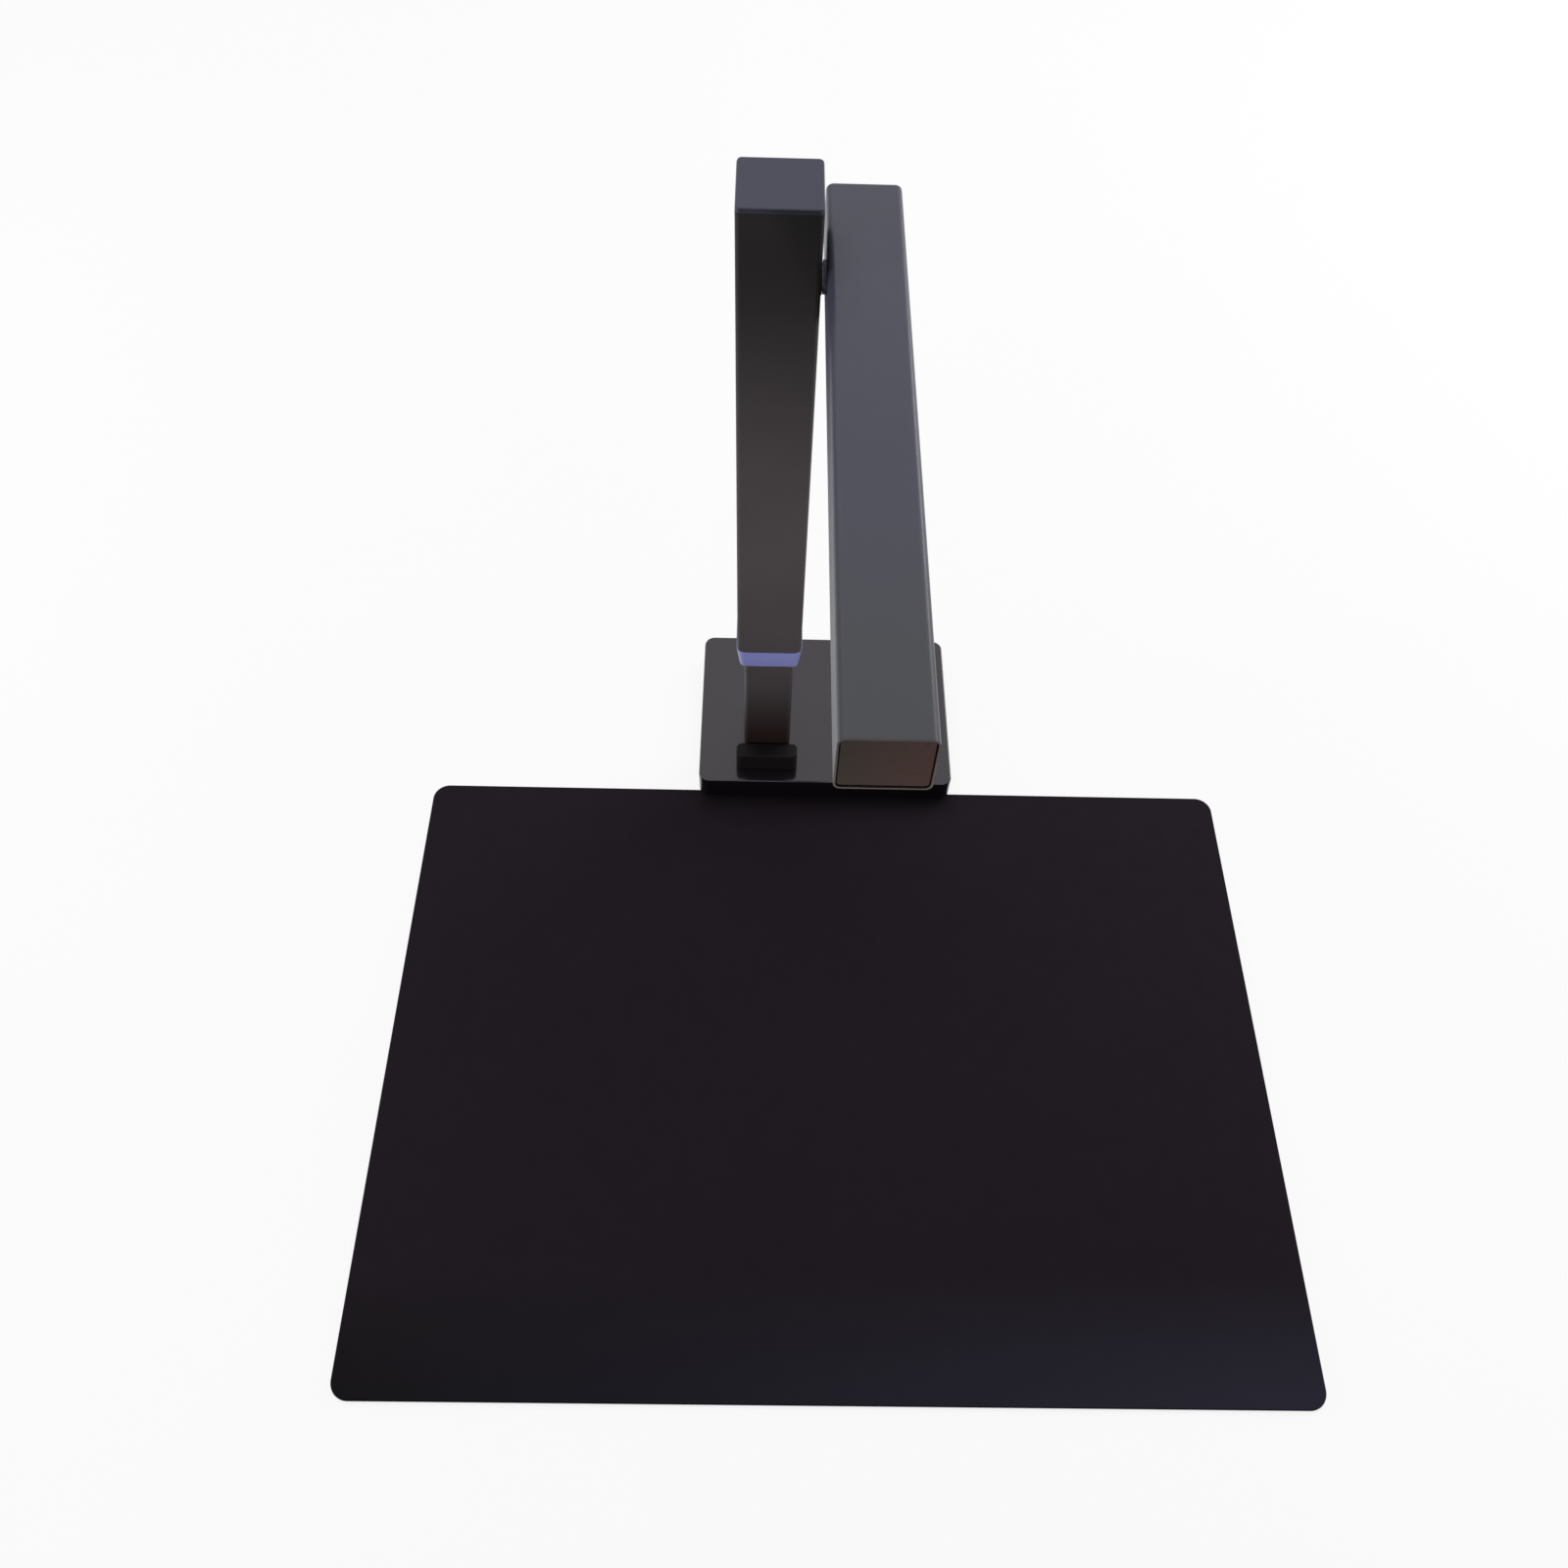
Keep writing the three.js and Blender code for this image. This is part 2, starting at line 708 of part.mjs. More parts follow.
// Knuckle: a foot that stands on the sole, a fork round the tongue and a plug for the post
function knuckle() {
  const floor = soleThickness + fitGap - pinRise;
  const foot = raise(rectangle(postSize, postSize, postCornerRadius), postBottom - floor)
    .translate(0, 0, floor);
  const fork = block(postSize, pinBehind, hingeEyeRadius - floor).translate(0, pinBehind / 2, floor);
  const eye = alongX(bar(hingeEyeRadius, postSize)).translate(-postSize / 2, pinBehind, 0);
  const slotWidth = tongueWidth + 2 * (frictionWasherThickness + fitGap);
  const slot = block(slotWidth, 2 * (hingeEyeRadius + fitGap), 2 * pinRise + overrun)
    .translate(0, pinBehind, -pinRise);
  const plugSize = postSize - 2 * (postWall + fitGap);
  const plug = raise(
    rectangle(plugSize, plugSize, postCornerRadius - postWall), postBottom - floor + plugLength,
  ).translate(0, 0, floor);
  const sideways = (radius, length, x) => solid(
    alongX(bar(radius + fitGap, length)).translate(x, pinBehind, 0),
  );
  const bore = sideways(pinRadius, postSize + 2 * overrun, -postSize / 2 - overrun);
  const headPocket = sideways(
    pinHeadRadius, pinHeadHeight + fitGap + overrun, -postSize / 2 - overrun,
  );
  const nutPocket = sideways(
    pinNutRadius, pinNutHeight + fitGap + overrun, postSize / 2 - pinNutHeight - fitGap,
  );
  const screwHole = alongY(bar(plugScrewRadius + fitGap, plugScrewLength + fitGap))
    .translate(0, postSize / 2 - plugScrewLength - fitGap, postBottom + plugScrewRise);
  const body = cut(
    join(solid(foot), solid(fork), solid(eye)), solid(slot), bore, headPocket, nutPocket,
  );
  return piece('hinge_knuckle', cut(join(body, solid(plug)), solid(screwHole)), blackPlastic);
}

function postScrew() {
  const screw = panScrew(plugScrewRadius, plugScrewLength, plugScrewHeadRadius, plugScrewHeadHeight);
  return piece(
    'post_screw', solid(alongY(screw).rotateZ(Math.PI)), steel,
    0, postSize / 2, postBottom + plugScrewRise,
  );
}

// Square tube standing on z = 0
function squareTube(size, wall, radius, height) {
  const outer = raise(rectangle(size, size, radius), height);
  const bore = size - 2 * wall;
  const inner = raise(rectangle(bore, bore, Math.max(radius - wall, wall / 2)), height + 2 * overrun)
    .translate(0, 0, -overrun);
  return cut(solid(outer), solid(inner));
}

function lowerPost() {
  const tube = squareTube(postSize, postWall, postCornerRadius, postTop - postBottom);
  const screwHole = alongY(bar(plugScrewRadius + fitGap, postWall + 2 * overrun))
    .translate(0, postSize / 2 - postWall - overrun, plugScrewRise);
  return piece('lower_post', cut(tube, solid(screwHole)), greyPaint, 0, 0, postBottom);
}

// Sleeve round the post's top that runs in the column and catches on the collar's spigot
function glideSleeve() {
  const skin = raise(rectangle(sleeveSize, sleeveSize, columnCornerRadius), glideLength + glideLip);
  const around = raise(rectangle(boreSize, boreSize, postCornerRadius), glideLength + overrun)
    .translate(0, 0, -overrun);
  const opening = raise(
    rectangle(glideOpening, glideOpening, columnCornerRadius), glideLength + 2 * overrun,
  );
  const body = cut(solid(skin), solid(around), solid(opening));
  return piece('glide_sleeve', body, paleNylon, 0, 0, postTop - glideLength);
}

// The upper column's pieces share a frame on the column's axis at the collar's lower edge
function collar() {
  const taper = (collarTopSize - collarBottomSize) / 2;
  const flare = new THREE.ExtrudeGeometry(
    rectangle(collarBottomSize, collarBottomSize, collarCornerRadius - taper),
    {
      depth: overrun,
      bevelThickness: collarHeight,
      bevelSize: taper,
      bevelSegments: 1,
      curveSegments: cornerSegments,
    },
  ).translate(0, 0, collarHeight);
  const above = block(2 * collarTopSize, 2 * collarTopSize, overrun + 2 * collarHeight)
    .translate(0, 0, collarHeight);
  const spigot = raise(
    rectangle(sleeveSize, sleeveSize, columnCornerRadius), collarHeight / 2 + collarSpigot,
  ).translate(0, 0, collarHeight / 2);
  const bore = raise(
    rectangle(boreSize, boreSize, postCornerRadius), collarHeight + collarSpigot + 2 * overrun,
  ).translate(0, 0, -overrun);
  const body = cut(join(cut(solid(flare), solid(above)), solid(spigot)), solid(bore));
  return piece('mast_collar', body, collarViolet);
}

function upperColumn() {
  const tube = squareTube(columnSize, columnWall, columnCornerRadius, columnLength);
  const bushHole = alongX(bar(bushSleeveRadius + fitGap, columnWall + 2 * overrun, roundSegments))
    .translate(columnBore / 2 - overrun, -pivotAhead, pivotRise - collarHeight);
  const stopHole = alongY(bar(stopScrewRadius + fitGap, columnWall + 2 * overrun))
    .translate(0, columnBore / 2 - overrun, stopScrewZ() - collarHeight);
  return piece('upper_column', cut(tube, solid(bushHole), solid(stopHole)), greyPaint, 0, 0, collarHeight);
}

function columnCap() {
  const plate = pillow(
    columnSize, columnSize, columnCapThickness + overrun, columnCornerRadius, columnCapRound,
  ).translate(0, 0, -overrun);
  const below = block(2 * columnSize, 2 * columnSize, 2 * overrun).translate(0, 0, -2 * overrun);
  const plug = squareTube(
    sleeveSize, columnCapPlugWall, columnCornerRadius, columnCapPlug + columnCapThickness / 2,
  ).translate([0, 0, -columnCapPlug]);
  const body = join(cut(solid(plate), solid(below)), plug);
  return piece('column_cap', body, greyPaint, 0, 0, collarHeight + columnLength);
}

const stopScrewZ = () => stopRise - collarRise + stopHeight / 2;

// Block across the column's bore: the lower post's sleeve meets it when the mast is pushed down
function stopBlock() {
  const slab = raise(rectangle(sleeveSize, sleeveSize, columnCornerRadius), stopHeight);
  const cableWay = bar(stopCableRadius, stopHeight + 2 * overrun).translate(0, 0, -overrun);
  const screwHole = alongY(bar(stopScrewRadius + fitGap, stopScrewLength))
    .translate(0, columnSize / 2 - stopScrewLength - fitGap, stopHeight / 2);
  const body = cut(solid(slab), solid(cableWay), solid(screwHole));
  return piece('mast_stop_block', body, blackPlastic, 0, 0, stopRise - collarRise);
}

function stopScrew() {
  const screw = panScrew(stopScrewRadius, stopScrewLength, stopScrewHeadRadius, stopScrewHeadHeight);
  return piece(
    'mast_stop_screw', solid(alongY(screw).rotateZ(Math.PI)), steel, 0, columnSize / 2, stopScrewZ(),
  );
}

// Flanged bush in the column's right wall
function pivotBush() {
  const bore = neckRadius + fitGap;
  const sleeve = columnWall + bushInnerReach;
  const body = ring([
    [bore, -sleeve],
    [bushSleeveRadius, -sleeve],
    [bushSleeveRadius, 0],
    [bushFlangeRadius, 0],
    [bushFlangeRadius, bushFlangeThickness],
    [bore, bushFlangeThickness],
  ], roundSegments);
  return piece(
    'pivot_bush', solid(alongX(body)), blackPlastic, columnSize / 2, -pivotAhead, pivotRise,
  );
}

// The arm's pieces share a frame on the pivot's axis in the middle of the arm's width
const neckEndX = -(armWidth / 2 + pivotGap + columnWall + bushInnerReach + fitGap);
const axleFlangeX = armWall - armWidth / 2;
const armScrewPlaces = [-armScrewAhead, -armScrewMiddle, armScrewBehind];

// Channel open below between two closed rims, with a ledge along each wall for the bottom cover
function armChannel() {
  const outer = raise(rectangle(armWidth, armHeight, armTopRadius, armBottomRadius), armLength);
  const through = raise(
    rectangle(armInnerWidth, armInnerHeight, armInnerTopRadius, armInnerBottomRadius),
    armLength + 2 * overrun,
  ).translate(0, 0, -overrun);
  const trough = raise(
    rectangle(armInnerWidth, armHeight - armWall + overrun, armInnerTopRadius, 0),
    armLength - 2 * (armRimDepth - fitGap),
  ).translate(0, -(armWall + overrun) / 2, armRimDepth - fitGap);
  const mouth = (from) => solid(raise(
    rectangle(
      armMouthWidth, armMouthHeight, armTopRadius - armRimWall, armBottomRadius - armRimWall,
    ),
    armRimDepth + overrun,
  ).translate(0, 0, from));
  const ledge = (side) => solid(block(2 * armLedge, armLedge, coverLength)
    .translate(side * armInnerWidth / 2, coverTop + armLedge / 2, armRimDepth + fitGap));
  const channel = cut(
    solid(outer), solid(through), solid(trough), mouth(-overrun), mouth(armLength - armRimDepth),
  );
  return join(channel, ledge(-1), ledge(1))
    .rotate([90, 0, 0])
    .translate([0, armTail, 0]);
}

function armShell() {
  const pivotBoss = alongX(bar(armBossRadius, armBossHeight + armWall / 2, roundSegments))
    .translate(-armWidth / 2 - armBossHeight, 0, 0);
  const axleHole = alongX(bar(neckRadius + fitGap, armWall + armBossHeight + 2 * overrun, roundSegments))
    .translate(-armWidth / 2 - armBossHeight - overrun, 0, 0);
  const screwBosses = armScrewPlaces.map((y) => solid(
    bar(armScrewBossRadius, armHeight / 2 - armWall / 2 - coverTop).translate(0, y, coverTop),
  ));
  const screwHoles = armScrewPlaces.map((y) => solid(
    bar(armBossScrewRadius + fitGap, armScrewLength + fitGap).translate(0, y, armUnder),
  ));
  const body = cut(
    join(armChannel(), solid(pivotBoss), ...screwBosses), solid(axleHole), ...screwHoles,
  );
  return piece('arm_shell', body, armPaint);
}

// End plate inside a rim, with a plug that fits the channel; direction is -1 at the front, 1 at the rear
function armCap(name, direction, material) {
  const plate = pillow(
    armMouthWidth - 2 * fitGap, armMouthHeight - 2 * fitGap, armCapThickness + overrun,
    armTopRadius - armRimWall - fitGap, armCapRound, armBottomRadius - armRimWall - fitGap,
  ).translate(0, 0, -overrun);
  const behind = block(2 * armWidth, 2 * armHeight, 2 * overrun).translate(0, 0, -2 * overrun);
  const plugFloor = coverTop + armLedge + fitGap;
  const plugRoof = armHeight / 2 - armWall - fitGap;
  const plugDepth = armCapPlug + armCapThickness / 2;
  const plug = (inset, extra) => solid(
    block(coverWidth - 2 * inset, plugRoof - plugFloor - 2 * inset, plugDepth + extra)
      .translate(0, (plugRoof + plugFloor) / 2, -armCapPlug - extra),
  );
  const plugCorners = raise(
    rectangle(armInnerWidth, armInnerHeight, armTopRadius), plugDepth,
  ).translate(0, 0, -armCapPlug);
  const frame = plug(0, 0).intersect(solid(plugCorners)).subtract(plug(armCapPlugWall, overrun)
    .translate([0, 0, -armCapThickness / 2]));
  const body = join(cut(solid(plate), solid(behind)), frame).rotate([90, 0, 0]);
  const turn = direction < 0 ? body : body.rotate([0, 0, 180]);
  const y = direction < 0 ? armRimDepth - armReach : armTail - armRimDepth;
  return piece(name, turn, material, 0, y, 0);
}

const lampPlaces = [['front', -lensReach - lampSpacing], ['rear', -lensReach + lampSpacing]];
const sensorPostPlaces = [-1, 1].flatMap((side) => [-1, 1].map((end) => [
  side * (sensorBoardWidth / 2 - sensorPostInset),
  end * (sensorBoardDepth / 2 - sensorPostInset) - lensReach,
]));
const buttonPostX = buttonBoardWidth / 2 - buttonPostRadius;
const switchUnder = coverTop + buttonFlangeThickness + buttonStemHeight + buttonTravel + fitGap;
const buttonBoardZ = switchUnder + switchHeight;

function armBottomCover() {
  const middleY = (armTail - armReach) / 2;
  const sheet = solid(block(coverWidth, coverLength, armWall).translate(0, middleY, armUnder));
  const through = armWall + 2 * overrun;
  const floor = coverTop - armWall / 2;
  const sensorPosts = sensorPostPlaces.map(([x, y]) => solid(
    bar(sensorPostRadius, sensorBoardRise + armWall / 2).translate(x, y, floor),
  ));
  const lampRibs = lampPlaces.flatMap(([, y]) => [-1, 1].map((side) => solid(
    block(lampRib, lampLength, lampRibRise + armWall / 2)
      .translate(side * (lampWidth / 2 + lampFlange + fitGap + lampRib / 2), y, floor),
  )));
  const buttonPosts = [-1, 1].map((side) => solid(
    bar(buttonPostRadius, buttonBoardZ - floor).translate(side * buttonPostX, -buttonAhead, floor),
  ));
  const bezelHole = solid(bar(bezelRadius + fitGap, through, roundSegments)
    .translate(0, -lensReach, armUnder - overrun));
  const lampHoles = lampPlaces.map(([, y]) => solid(
    block(lampWidth + 2 * fitGap, lampLength + 2 * fitGap, through).translate(0, y, armUnder - overrun),
  ));
  const buttonHole = solid(bar(buttonRadius + fitGap, through)
    .translate(0, -buttonAhead, armUnder - overrun));
  const screwHoles = armScrewPlaces.map((y) => solid(
    sunkHole(armBossScrewRadius, armScrewLength, armScrewHeadRadius).translate(0, y, armUnder),
  ));
  const body = cut(
    join(sheet, ...sensorPosts, ...lampRibs, ...buttonPosts),
    bezelHole, ...lampHoles, buttonHole, ...screwHoles,
  );
  return piece('arm_bottom_cover', body, blackPlastic);
}

function armScrews() {
  const screw = solid(sunkScrew(armBossScrewRadius, armScrewLength, armScrewHeadRadius));
  return armScrewPlaces.map((y, count) => piece(
    `arm_screw_${count + 1}`, screw, steel, 0, y, armUnder,
  ));
}

// Axle: a flange inside the arm's wall, a neck across the gap and a threaded tail in the column
function pivotAxle() {
  const washers = pivotWasherThickness + 2 * (springWasherThickness + springWasherDish);
  const tail = washers + pivotNutHeight + axleTail;
  const neck = axleFlangeX - neckEndX;
  const body = turned([
    [0, -tail],
    [axleRadius, -tail],
    [axleRadius, 0],
    [neckRadius, 0],
    [neckRadius, neck],
    [axleFlangeRadius, neck],
    [axleFlangeRadius, neck + axleFlangeThickness],
    [0, neck + axleFlangeThickness],
  ], roundSegments);
  return piece('pivot_axle', solid(alongX(body)), steel, neckEndX, 0, 0);
}

function pivotWashers() {
  const bore = axleRadius + fitGap;
  const flat = flatWasher(springWasherRadius, bore, pivotWasherThickness);
  const cone = (inner, outer) => solid(alongX(ring([
    [bore, inner],
    [springWasherRadius, outer],
    [springWasherRadius, outer + springWasherThickness],
    [bore, inner + springWasherThickness],
  ])));
  const pitch = springWasherThickness + springWasherDish;
  const start = neckEndX - pivotWasherThickness;
  return [
    piece('pivot_friction_washer', flat, paleNylon, start, 0, 0),
    piece('pivot_disc_spring_1', cone(springWasherDish, 0), steel, start - pitch, 0, 0),
    piece('pivot_disc_spring_2', cone(0, springWasherDish), steel, start - 2 * pitch, 0, 0),
    piece(
      'pivot_nut', hexNut(pivotNutRadius, pivotNutHeight, axleRadius), steel,
      start - 2 * pitch - pivotNutHeight, 0, 0,
    ),
  ];
}

// Lens stack, from the underside up; its frame is the arm's, moved to the lens axis
const windowZ = coverTop + bezelFlangeThickness - windowSeatDepth;
const barrelZ = windowZ + windowThickness + barrelWindowGap;
const sensorBoardZ = coverTop + sensorBoardRise;

function lensBezel() {
  const lip = armUnder - bezelProud;
  const top = coverTop + bezelFlangeThickness;
  const body = ring([
    [boreRadius, lip],
    [bezelRadius - bezelProud, lip],
    [bezelRadius, armUnder],
    [bezelRadius, coverTop],
    [bezelFlangeRadius, coverTop],
    [bezelFlangeRadius, top],
    [windowRadius + fitGap, top],
    [windowRadius + fitGap, windowZ],
    [boreRadius, windowZ],
  ], roundSegments);
  return piece('lens_bezel', solid(body), blackPlastic, 0, -lensReach, 0);
}

const lensWindow = () => piece(
  'lens_window', solid(bar(windowRadius, windowThickness, roundSegments)), lensGlass,
  0, -lensReach, windowZ,
);

function lensBarrel() {
  const body = ring([
    [barrelBore, 0],
    [barrelRimRadius, 0],
    [barrelRimRadius, barrelRimHeight],
    [barrelRadius, barrelRimHeight],
    [barrelRadius, barrelLength],
    [barrelBore - lensCrown, barrelLength],
    [barrelBore - lensCrown, barrelRimHeight],
    [barrelBore, barrelRimHeight],
  ]);
  return piece('lens_barrel', solid(body), blackPlastic, 0, -lensReach, barrelZ);
}

// Front lens element, crowned below, seated on the barrel's inner step
function lensElement() {
  const radius = barrelBore - fitGap;
  const crown = new THREE.QuadraticBezierCurve(
    new THREE.Vector2(0, -lensThickness - lensCrown / 2),
    new THREE.Vector2(radius / 2, -lensThickness - lensCrown / 2),
    new THREE.Vector2(radius, -lensThickness),
  ).getPoints(cornerSegments).map((point) => [point.x, point.y]);
  const body = turned([...crown, [radius, 0], [0, 0]]);
  return piece('lens_element', solid(body), lensGlass, 0, -lensReach, barrelZ + barrelRimHeight);
}

function lensHolder() {
  const tower = solid(block(holderSize, holderSize, holderHeight).translate(0, 0, -holderHeight));
  const foot = solid(block(holderFootWidth, holderSize, holderFoot).translate(0, 0, -holderFoot));
  const bore = solid(bar(barrelRadius + fitGap, holderHeight + 2 * overrun, smallSegments)
    .translate(0, 0, -holderHeight - overrun));
  return piece(
    'lens_holder', cut(join(tower, foot), bore), blackPlastic, 0, -lensReach, sensorBoardZ,
  );
}

function sensorBoard() {
  const sheet = solid(block(sensorBoardWidth, sensorBoardDepth, sensorBoardThickness));
  const sensor = solid(block(sensorSize, sensorSize, sensorHeight + sensorBoardThickness / 2)
    .translate(0, 0, -sensorHeight));
  const connector = solid(
    block(connectorWidth, connectorDepth, connectorHeight + sensorBoardThickness / 2).translate(
      0, (sensorBoardDepth - connectorDepth) / 2 - sensorBoardThickness, sensorBoardThickness / 2,
    ),
  );
  return piece(
    'sensor_board', join(sheet, sensor, connector), boardGreen, 0, -lensReach, sensorBoardZ,
  );
}

function lamps() {
  return lampPlaces.flatMap(([place, y]) => {
    const flangeWidth = lampWidth + 2 * lampFlange;
    const pane = solid(block(lampWidth, lampLength, armWall + lampFlangeThickness / 2)
      .translate(0, 0, -armWall));
    const flange = solid(block(flangeWidth, lampLength + 2 * lampFlange, lampFlangeThickness));
    const sheet = solid(block(flangeWidth + 2 * lampRib, lampLength, lampBoardThickness));
    const chips = lampChipShares.map((share) => solid(
      block(lampChipWidth, lampChipDepth, lampChipHeight + lampBoardThickness / 2)
        .translate(share * flangeWidth, 0, -lampChipHeight),
    ));
    return [
      piece(`lamp_diffuser_${place}`, join(pane, flange), diffuserWhite, 0, y, coverTop),
      piece(`lamp_board_${place}`, join(sheet, ...chips), boardGreen, 0, y, coverTop + lampRibRise),
    ];
  });
}

// Button: its frame is the arm's; it slides up by its travel
function lampButton() {
  const body = turned([
    [0, armUnder - buttonProud],
    [buttonRadius - buttonProud / 2, armUnder - buttonProud],
    [buttonRadius, armUnder - buttonProud / 2],
    [buttonRadius, coverTop],
    [buttonFlangeRadius, coverTop],
    [buttonFlangeRadius, coverTop + buttonFlangeThickness],
    [buttonStemRadius, coverTop + buttonFlangeThickness],
    [buttonStemRadius, coverTop + buttonFlangeThickness + buttonStemHeight],
    [0, coverTop + buttonFlangeThickness + buttonStemHeight],
  ]);
  return piece('lamp_button', solid(body), blackPlastic, 0, -buttonAhead, 0);
}

function buttonBoard() {
  const sheet = solid(block(buttonBoardWidth, buttonBoardDepth, buttonBoardThickness));
  const box = solid(block(switchSize, switchSize, switchHeight + buttonBoardThickness / 2)
    .translate(0, 0, -switchHeight));
  return piece('button_board', join(sheet, box), boardGreen, 0, -buttonAhead, buttonBoardZ);
}

const arm = assembly([
  armShell(),
  armCap('arm_front_cap', -1, capBrown),
  armCap('arm_rear_cap', 1, armPaint),
  armBottomCover(),
  ...armScrews(),
  pivotAxle(),
  ...pivotWashers(),
  lensBezel(),
  lensWindow(),
  lensBarrel(),
  lensElement(),
  lensHolder(),
  sensorBoard(),
  ...lamps(),
  lampButton(),
  buttonBoard(),
], -columnX, -pivotAhead, pivotRise);

const upperMast = assembly([
  collar(), upperColumn(), columnCap(), stopBlock(), stopScrew(), pivotBush(), arm,
], 0, 0, collarRise);

const lowerMast = assembly([
  knuckle(), hingePin(), hingeNut(), lowerPost(), postScrew(), glideSleeve(), upperMast,
], 0, -pinBehind, 0);

const footHinge = assembly([
  hingeBracket(), ...bracketScrews(), ...frictionWashers(), lowerMast,
], columnX, pinY, pinZ);

const device = assembly([
  documentMat(),
  baseShell(),
  bottomPlate(),
  ...rubberFeet(),
  ...baseScrews(),
  ballast(),
  mainBoard(),
  ...boardScrews(),
  cableSocket(),
  footHinge,
], 0, baseFrontY, 0);

export default assembly([device]);
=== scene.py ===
import json
import math

import bmesh
import bpy
from mathutils import Matrix, Vector


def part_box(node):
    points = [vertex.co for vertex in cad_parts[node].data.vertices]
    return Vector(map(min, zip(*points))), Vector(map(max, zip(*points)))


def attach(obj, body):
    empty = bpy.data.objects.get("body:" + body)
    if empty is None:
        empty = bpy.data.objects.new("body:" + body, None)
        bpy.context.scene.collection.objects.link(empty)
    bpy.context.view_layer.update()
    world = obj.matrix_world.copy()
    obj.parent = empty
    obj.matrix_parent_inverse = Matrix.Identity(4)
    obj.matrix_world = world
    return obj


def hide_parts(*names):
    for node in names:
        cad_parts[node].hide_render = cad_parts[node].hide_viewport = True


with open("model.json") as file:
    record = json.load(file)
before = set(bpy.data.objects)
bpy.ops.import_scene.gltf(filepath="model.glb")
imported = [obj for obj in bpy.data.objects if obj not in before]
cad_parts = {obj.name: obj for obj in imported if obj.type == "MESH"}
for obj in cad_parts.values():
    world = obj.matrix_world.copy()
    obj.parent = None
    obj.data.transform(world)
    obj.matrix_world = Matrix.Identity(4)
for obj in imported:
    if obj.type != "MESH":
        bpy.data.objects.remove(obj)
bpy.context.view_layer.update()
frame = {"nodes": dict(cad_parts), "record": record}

NODES = frame["nodes"]
SLOT_OF = {part["node"]: part["material_slot"] for part in frame["record"]["subparts"]}
MM = 0.001
MICRON = 0.000001

# Noise scales, in cells per metre
PATCH_SCALE = 14.0
MAT_PATCH_SCALE = 5.0
SATIN_SCALE = 160.0
GRAIN_SCALE = 1400.0

# Where paints change tone or carry painted light and shade, in metres on the part's axes: [share 0,
# share 1]
# Painted reflection on the arm: the blue of its paint fades towards the front
ARM_REFLECTION_FADE_Y = (0.005, -0.055)
# Painted warm light on the arm: its rim around the front cap turns brown
ARM_WARM_RIM_Y = (-0.0914, -0.0922)
# Painted highlight on the arm's rim: lighter at its lower lip, darker upwards
ARM_RIM_HIGHLIGHT_FADE_Z = (0.327, 0.345)
# Painted shade on the mast: darker and browner towards the foot
MAST_FOOT_SHADE_Z = (0.03, 0.085)
CAP_RED_X = (-0.012, 0.012)
# Painted sheen and shade on the mat: where its front strip begins
MAT_SHEEN_STRIP_Y = (-0.16, -0.215)
# Painted light on the mat's front strip: painted shade on the left, painted sheen on the right
MAT_SHEEN_X = (-0.23, 0.2)


# Colours are written as 8-bit sRGB and turned into the linear values that shaders take
def linear(red, green, blue):
    def channel(value):
        share = value / 255
        return share / 12.92 if share <= 0.04045 else ((share + 0.055) / 1.055) ** 2.4

    return (channel(red), channel(green), channel(blue), 1.0)


class Shader:
    """A Principled material with short calls for the nodes that feed it."""

    def __init__(self, name):
        self.material = bpy.data.materials.new(name)
        self.material.use_nodes = True
        self.tree = self.material.node_tree
        self.principled = self.tree.nodes["Principled BSDF"]
        self.coordinates = self.node("ShaderNodeTexCoord").outputs["Object"]

    def node(self, kind, **settings):
        made = self.tree.nodes.new(kind)
        for key, value in settings.items():
            setattr(made, key, value)
        return made

    def link(self, source, target):
        self.tree.links.new(source, target)

    def set(self, **values):
        for key, value in values.items():
            self.principled.inputs[key.replace("_", " ")].default_value = value
        return self

    def noise(self, scale, detail=3.0, stretch=(1, 1, 1)):
        mapping = self.node("ShaderNodeMapping")
        mapping.inputs["Scale"].default_value = stretch
        self.link(self.coordinates, mapping.inputs["Vector"])
        texture = self.node("ShaderNodeTexNoise")
        texture.inputs["Scale"].default_value = scale
        texture.inputs["Detail"].default_value = detail
        texture.inputs["Roughness"].default_value = 0.55
        self.link(mapping.outputs["Vector"], texture.inputs["Vector"])
        return texture.outputs["Fac"]

    def ramp(self, value, low, high, start=0.3, stop=0.7):
        made = self.node("ShaderNodeMapRange")
        made.inputs["From Min"].default_value = start
        made.inputs["From Max"].default_value = stop
        made.inputs["To Min"].default_value = low
        made.inputs["To Max"].default_value = high
        self.link(value, made.inputs["Value"])
        return made.outputs["Result"]

    def patches(self, scale):
        """Soft patches, from 0 to 1."""
        return self.ramp(self.noise(scale, detail=2.0), 0.0, 1.0)

    def along(self, axis, span):
        """Goes from 0 to 1 between two places on one axis of the part."""
        place = self.node("ShaderNodeSeparateXYZ")
        self.link(self.coordinates, place.inputs["Vector"])
        return self.ramp(place.outputs[axis], 0.0, 1.0, start=span[0], stop=span[1])

    def mix(self, factor, first, second):
        made = self.node("ShaderNodeMix", data_type="RGBA")
        self.link(factor, made.inputs["Factor"])
        for source, socket in ((first, made.inputs["A"]), (second, made.inputs["B"])):
            if isinstance(source, tuple):
                socket.default_value = source
            else:
                self.link(source, socket)
        return made.outputs["Result"]

    def colour(self, source):
        self.link(source, self.principled.inputs["Base Color"])
        return self

    def rough(self, source):
        self.link(source, self.principled.inputs["Roughness"])
        return self

    def bump(self, height, distance, strength=0.5):
        made = self.node("ShaderNodeBump")
        made.inputs["Strength"].default_value = strength
        made.inputs["Distance"].default_value = distance
        self.link(height, made.inputs["Height"])
        self.link(made.outputs["Normal"], self.principled.inputs["Normal"])
        return self


